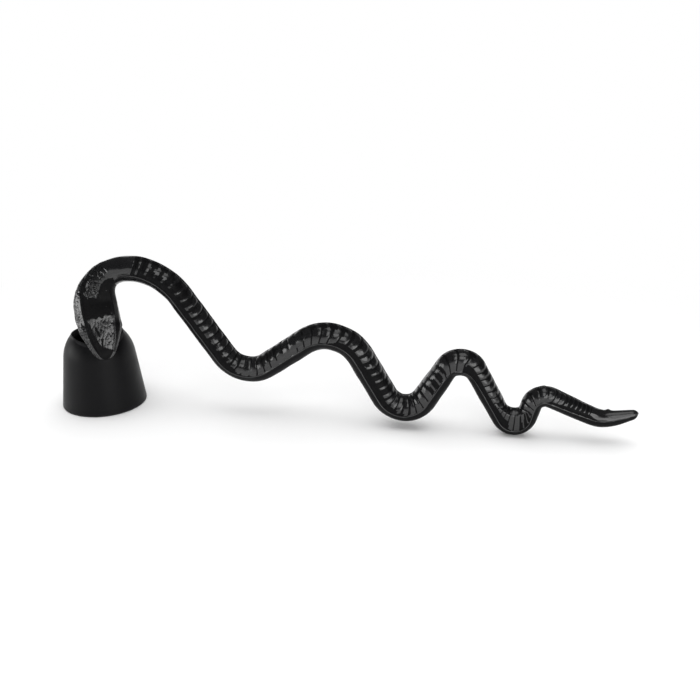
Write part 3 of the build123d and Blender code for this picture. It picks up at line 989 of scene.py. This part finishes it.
def pin_points():
    """The pin as a profile turned about its axis: a flush front end, the shank and a domed head."""
    own = settings().pin
    low, high = (np.array(corner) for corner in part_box("pivot_pin"))
    height = CUP_HEIGHT - CROWN_NOTCH_DROP - PIN_DROP_BELOW_NOTCH
    front = float(wall_radius(np.array(height + own.shank_radius), 0.0))
    seat = float(wall_radius(np.array(height - own.head_radius), 0.0))
    bend = np.linspace(0.0, math.pi / 2, 14)
    sphere = (own.head_radius ** 2 + own.head_height ** 2) / (2 * own.head_height)
    half = math.asin(own.head_radius / sphere)
    dome = half * (1 - np.sin(bend) * 0.98)
    brim = 0.00015
    radius = np.concatenate([
        own.shank_radius - brim * (1 - np.sin(bend[::6])),
        np.full(12, own.shank_radius),
        (own.shank_radius, own.head_radius - brim, own.head_radius),
        sphere * np.sin(dome),
    ])
    out = np.concatenate([
        front - brim * (1 - np.cos(bend[::6])),
        np.linspace(front - 2 * brim, -seat + brim, 12),
        (-seat, -seat, -seat - brim * 0.3),
        -seat - own.head_height + sphere * (1 - np.cos(dome)),
    ])
    turns = ring_turns(PIN_COLUMNS)
    side = HEAD_OUT[[1, 0, 2]] * (-1, 1, 1)
    up = np.array((0.0, 0.0, 1.0))
    ring = np.cos(turns)[:, None] * side + np.sin(turns)[:, None] * up
    points = HEAD_OUT * out[:, None, None] + radius[:, None, None] * ring + up * height
    points = np.clip(points, low, high)
    return points, np.full(points.shape[:2], PIN_RELIEF)


def length_setting(name, text, default):
    """A setting in metres."""
    return bpy.props.FloatProperty(name=name, description=text, default=default, unit="LENGTH")


def share_setting(name, text, default):
    """A setting between 0 and 1."""
    return bpy.props.FloatProperty(name=name, description=text, default=default, subtype="FACTOR")


def number_setting(name, text, default):
    """A setting that is a plain number."""
    return bpy.props.FloatProperty(name=name, description=text, default=default, subtype="UNSIGNED")


def vector_setting(name, text, default, subtype):
    """A setting with three values of one kind."""
    return bpy.props.FloatVectorProperty(
        name=name, description=text, default=default, subtype=subtype)


def colour_setting(name, text, default):
    """A setting that is a colour."""
    return vector_setting(name, text, default, "COLOR")


def place_setting(name, text, default):
    """A setting that is a place in metres."""
    return vector_setting(name, text, default, "TRANSLATION")


def way_setting(name, text, default):
    """A setting that is a direction."""
    return vector_setting(name, text, default, "DIRECTION")


class SnakeSettings(bpy.types.PropertyGroup):
    """Sizes and colours of the snake."""

    rib_pitch_tail: length_setting("Rib Pitch at Tail", "Spacing of the ribs at the tail", 0.0015)
    rib_pitch_neck: length_setting("Rib Pitch at Neck", "Spacing of the ribs at the neck", 0.00325)
    rib_pitch_reach: length_setting("Rib Pitch Reach", "Length over which the spacing grows", 0.045)
    rib_depth: share_setting("Rib Depth", "Depth of a groove as a share of the body's radius", 0.048)
    rib_bow: number_setting(
        "Rib Bow", "How far the ribs bow to the tail, as a share of the radius", 0.5)
    rib_wander: length_setting("Rib Wander", "How far the ribs wander from their places", 0.00025)
    line_depth: length_setting("Belly Line Depth", "Height of the beads beside the belly", 0.00018)
    nub_height: length_setting("Tail Nub", "Height of the nub on top of the tail", 0.0006)
    tail_slant: length_setting(
        "Tail Slant", "How far the top of the tail's end reaches over its underside", 0.0005)
    tail_lift: length_setting("Tail Lift", "How far the tail's end turns up", 0.0006)
    hammer_depth: length_setting("Casting Waves", "Depth of the casting's uneven waves", 0.00013)
    scale_depth: length_setting("Scale Depth", "Depth of the grooves between scales", 0.00011)
    facet_depth: length_setting("Scale Tilt", "Tilt of the hammered scales", 0.00015)
    ridge_height: length_setting("Ridge Height", "Height of the head's ridges and lips", 0.00022)
    brow_step: length_setting("Brow Step", "Step down from the crown to the snout's plate", 0.00008)
    cheek_flat: length_setting("Cheek Flat", "How far the cheeks are flattened above the lips", 0.0002)
    skin_depth: length_setting("Skin Depth", "Depth of the enamel's fine texture", 0.00006)
    colour: colour_setting("Enamel", "Colour of the enamel", (0.0055, 0.0055, 0.006))
    wear_and_highlight_colour: colour_setting(
        "Worn and Highlight Enamel", "Colour of the enamel on high edges", (0.014, 0.014, 0.015))
    # Darker than the enamel: painted shade in the grooves, and the base of the duller copy on shaded
    # faces
    dust_and_shade_colour: colour_setting("Dust and Shade Enamel", "Colour in the grooves", (0.0025, 0.0025, 0.0028))
    roughness: share_setting("Roughness", "Roughness of the enamel", 0.16)
    # Roughness and gloss of the duller copy that paints shade
    shade_roughness: share_setting("Painted Shade Roughness", "Roughness of grooves and belly", 0.45)
    shade_ior: number_setting("Painted Shade Gloss", "Refraction index of grooves and belly", 1.18)
    ior: number_setting("Gloss", "Refraction index of the enamel", 1.60)


class CupSettings(bpy.types.PropertyGroup):
    """Sizes and colours of the cup."""

    rim_round: length_setting("Rim Round", "Round of the rim's edges", 0.0007)
    lip_round: length_setting("Crown Edge Round", "Round of the crown's edge", 0.0005)
    skin_depth: length_setting("Skin Depth", "Depth of the enamel's fine texture", 0.00003)
    colour: colour_setting("Enamel", "Colour of the enamel", (0.0032, 0.0032, 0.0038))
    # Much lighter than the enamel: wear on the rim, a painted highlight on the crown's lip and painted
    # light in its bore
    wear_and_highlight_colour: colour_setting("Worn and Highlight Enamel", "Colour of the enamel on its edges", (0.05, 0.05, 0.052))
    dust_and_shade_colour: colour_setting("Dust and Shade Enamel", "Colour in hollows", (0.004, 0.004, 0.0045))
    roughness: share_setting("Roughness", "Roughness of the enamel", 0.40)
    ior: number_setting("Gloss", "Refraction index of the enamel", 1.22)


class PinSettings(bpy.types.PropertyGroup):
    """Sizes and colours of the pin."""

    shank_radius: length_setting("Shank Radius", "Radius of the pin's shank", 0.0013)
    head_radius: length_setting("Head Radius", "Radius of the pin's head", 0.0022)
    head_height: length_setting("Head Height", "Height of the pin's dome", 0.0012)
    skin_depth: length_setting("Skin Depth", "Depth of the blackening's texture", 0.00002)
    colour: colour_setting("Blackening", "Colour of the blackened steel", (0.02, 0.02, 0.022))
    wear_and_highlight_colour: colour_setting("Worn Blackening", "Colour where it is worn", (0.05, 0.05, 0.054))
    roughness: share_setting("Roughness", "Roughness of the blackening", 0.38)
    ior: number_setting("Gloss", "Refraction index of the blackening", 1.5)


class StageSettings(bpy.types.PropertyGroup):
    """Floor, lights and camera."""

    floor_size: length_setting("Floor Size", "Length of the floor's sides", 24.0)
    floor_colour: colour_setting("Floor", "Colour of the floor", (0.95, 0.95, 0.95))
    floor_middle: place_setting(
        "Floor Middle", "Middle of the part of the floor that shows its shading", (0.10, 0.0, 0.0))
    white_from: length_setting(
        "White From", "Distance from the middle at which the floor starts to run out to white", 0.13)
    sweep_low: number_setting("Sweep Low", "Height of a view ray up to which the sweep is white", 0.09)
    sweep_high: number_setting("Sweep High", "Height of a view ray from which the room is dim", 0.3)
    room_light: number_setting("Room Light", "Brightness of the room above the sweep", 0.08)
    left_box: number_setting("Left Box", "Brightness of the soft box on the left", 2.8)
    right_box: number_setting("Right Box", "Brightness of the soft box on the right", 1.7)
    front_box: number_setting("Front Box", "Brightness of the low soft box in front", 2.5)
    high_box: number_setting("High Box", "Brightness of the broad soft box high in front", 2.2)
    top_box: number_setting("Top Box", "Brightness of the broad soft box above", 1.4)
    camera_place: place_setting("Camera", "Place of the camera", (0.1514, -0.2610, 0.1296))
    camera_way: way_setting("View", "Direction of the view", (-0.1737, 0.9191, -0.3535))
    lens: number_setting("Lens", "Focal length in millimetres on a 36 mm wide image", 39.09)
    sky_light: number_setting("Overhead Light", "Strength of the broad light from above", 2.2)


class SnufferSettings(bpy.types.PropertyGroup):
    """All sizes and colours."""

    snake: bpy.props.PointerProperty(type=SnakeSettings, name="Snake", description="The snake")
    cup: bpy.props.PointerProperty(type=CupSettings, name="Cup", description="The cup")
    pin: bpy.props.PointerProperty(type=PinSettings, name="Pin", description="The pin")
    stage: bpy.props.PointerProperty(type=StageSettings, name="Stage", description="The stage")


class SNUFFER_OT_snake(bpy.types.Operator):
    """Build the snake: its ribbed body, neck and head as one piece, and its lower jaw"""

    bl_idname = "snuffer.snake"
    bl_label = "Snake"

    def execute(self, context):
        points, relief, dull_and_shaded = snake_points()
        gloss, painted_shade_enamel = snake_materials()
        body = tube_object("snake_body", points, relief, [gloss, painted_shade_enamel], dull_and_shaded)
        attach(body, "handle", "snake_handle")
        jaw = tube_object("snake_lower_jaw", *lower_jaw_points(), [gloss])
        attach(jaw, "handle", None)
        return {"FINISHED"}


class SNUFFER_OT_cup(bpy.types.Operator):
    """Build the bell-shaped cup"""

    bl_idname = "snuffer.cup"
    bl_label = "Cup"

    def execute(self, context):
        own = settings().cup
        enamel = enamel_material(
            "cup_black_enamel", own.colour, own.wear_and_highlight_colour, own.dust_and_shade_colour,
            own.roughness, own.ior, *CUP_SKIN, own.skin_depth,
        )
        piece = ring_object("cup_bell", *cup_points(), enamel)
        attach(piece, "cup", "snuffer_cup")
        return {"FINISHED"}


class SNUFFER_OT_pin(bpy.types.Operator):
    """Build the pivot pin"""

    bl_idname = "snuffer.pin"
    bl_label = "Pivot Pin"

    def execute(self, context):
        own = settings().pin
        steel = enamel_material(
            "pin_blackened_steel", own.colour, own.wear_and_highlight_colour, own.colour,
            own.roughness, own.ior, *PIN_SKIN, own.skin_depth,
        )
        steel.node_tree.nodes["Principled BSDF"].inputs["Metallic"].default_value = PIN_METALLIC
        piece = tube_object("cup_pin", *pin_points(), [steel])
        attach(piece, "cup", "pivot_pin")
        return {"FINISHED"}


def background_rays(tree):
    """1 for rays that show the background as it is: seen straight, mirrored or let through."""
    path = tree.nodes.new("ShaderNodeLightPath")
    mirrored = math_node(tree, "MAXIMUM", (path, "Is Glossy Ray"), (path, "Is Transmission Ray"))
    return math_node(tree, "MAXIMUM", (path, "Is Camera Ray"), (mirrored, 0))


def floor_material(own):
    """A plain matt floor that holds the object's shadow and runs out to white further away."""
    material, tree, shader = new_material("pale_floor")
    shader.inputs["Base Color"].default_value = (*own.floor_colour, 1.0)
    shader.inputs["Roughness"].default_value = 1.0
    shader.inputs["Specular IOR Level"].default_value = 0.0
    white = tree.nodes.new("ShaderNodeEmission")
    place = tree.nodes.new("ShaderNodeTexCoord")
    middle = tree.nodes.new("ShaderNodeVectorMath")
    middle.operation = "DISTANCE"
    middle.inputs[1].default_value = own.floor_middle
    wire(tree, place, "Object", middle, 0)
    limits = {"From Min": own.white_from, "From Max": own.white_from * WHITE_BY}
    far = new_node(tree, "ShaderNodeMapRange", limits)
    far.interpolation_type = "SMOOTHSTEP"
    wire(tree, middle, "Value", far, "Value")
    shown = math_node(tree, "MULTIPLY", (far, "Result"), (background_rays(tree), 0))
    mix = tree.nodes.new("ShaderNodeMixShader")
    wire(tree, shown, 0, mix, "Fac")
    wire(tree, shader, "BSDF", mix, 1)
    wire(tree, white, "Emission", mix, 2)
    wire(tree, mix, 0, tree.nodes["Material Output"], "Surface")
    return material


def studio_world(own):
    """A white sweep up to a little over the horizon and a dim room above: a ramp of the ray's height.

    The camera sees it white all over."""
    world = bpy.data.worlds.new("studio")
    world.use_nodes = True
    tree = world.node_tree
    place = tree.nodes.new("ShaderNodeTexCoord")
    parts = tree.nodes.new("ShaderNodeSeparateXYZ")
    ramp = new_node(tree, "ShaderNodeMapRange", {
        "From Min": own.sweep_low,
        "From Max": own.sweep_high,
        "To Min": 1.0,
        "To Max": own.room_light,
    })
    ramp.interpolation_type = "SMOOTHSTEP"
    wire(tree, place, "Generated", parts, "Vector")
    wire(tree, parts, "Z", ramp, "Value")
    path = tree.nodes.new("ShaderNodeLightPath")
    shown = math_node(tree, "MAXIMUM", (ramp, "Result"), (path, "Is Camera Ray"))
    wire(tree, shown, 0, tree.nodes["Background"], "Strength")
    tree.nodes["Background"].inputs["Color"].default_value = (1.0, 1.0, 1.0, 1.0)
    bpy.context.scene.world = world


def soft_box(name, place, aim, size, brightness):
    """A lamp of this width and height that faces a point, as bright as a surface of this radiance."""
    lamp = bpy.data.lights.new(name, "AREA")
    lamp.shape = "RECTANGLE"
    lamp.size, lamp.size_y = size
    lamp.energy = brightness * math.pi * size[0] * size[1]
    light = new_object(name, lamp)
    light.location = place
    light.rotation_euler = (Vector(aim) - Vector(place)).to_track_quat("-Z", "Y").to_euler()
    light.visible_camera = False


class SNUFFER_OT_stage(bpy.types.Operator):
    """Build the floor, the studio light and the camera"""

    bl_idname = "snuffer.stage"
    bl_label = "Stage"

    def execute(self, context):
        own = settings().stage
        half = own.floor_size / 2
        mesh = bpy.data.meshes.new("floor")
        corners = [(-half, -half, 0), (half, -half, 0), (half, half, 0), (-half, half, 0)]
        mesh.from_pydata(corners, [], [(0, 1, 2, 3)])
        mesh.materials.append(floor_material(own))
        floor = new_object("floor", mesh)
        studio_world(own)
        sky = bpy.data.lights.new("overhead", "SUN")
        sky.energy = own.sky_light
        sky.angle = SKY_SPREAD
        overhead = new_object("overhead", sky)
        overhead.rotation_euler = SKY_TURN
        overhead.visible_glossy = False
        for name, place, aim, size in SOFT_BOXES:
            soft_box(name, place, aim, size, getattr(own, name))
        camera = bpy.data.cameras.new("camera")
        camera.lens = own.lens
        camera.sensor_width = IMAGE_WIDTH
        camera.clip_start = 0.01
        view = new_object("camera", camera)
        view.location = own.camera_place
        view.rotation_euler = Vector(own.camera_way).to_track_quat("-Z", "Y").to_euler()
        context.scene.camera = view
        context.scene.view_settings.view_transform = "Standard"
        return {"FINISHED"}


class SNUFFER_PT_panel(bpy.types.Panel):
    """Pieces of the snuffer and their sizes"""

    bl_idname = "SNUFFER_PT_panel"
    bl_label = "Candle Snuffer"
    bl_space_type = "VIEW_3D"
    bl_region_type = "UI"
    bl_category = "Snuffer"

    def draw(self, context):
        for operator in OPERATORS:
            self.layout.operator(operator.bl_idname)
        for part in ("snake", "cup", "pin", "stage"):
            group = getattr(context.scene.snuffer, part)
            column = self.layout.column(heading=part.title())
            for name in group.bl_rna.properties.keys():
                if name not in ("rna_type", "name"):
                    column.prop(group, name)


OPERATORS = (
    SNUFFER_OT_snake,
    SNUFFER_OT_cup,
    SNUFFER_OT_pin,
    SNUFFER_OT_stage,
)
CLASSES = (
    SnakeSettings,
    CupSettings,
    PinSettings,
    StageSettings,
    SnufferSettings,
    *OPERATORS,
    SNUFFER_PT_panel,
)


def register():
    """Register the classes and hang the settings on the scene."""
    for cls in CLASSES:
        bpy.utils.register_class(cls)
    bpy.types.Scene.snuffer = bpy.props.PointerProperty(type=SnufferSettings)


def unregister():
    """Take the settings off the scene and unregister the classes."""
    del bpy.types.Scene.snuffer
    for cls in reversed(CLASSES):
        bpy.utils.unregister_class(cls)


def main():
    """Build every piece and the stage."""
    register()
    bpy.ops.snuffer.snake()
    bpy.ops.snuffer.cup()
    bpy.ops.snuffer.pin()
    bpy.ops.snuffer.stage()


if __name__ == "__main__":
    main()
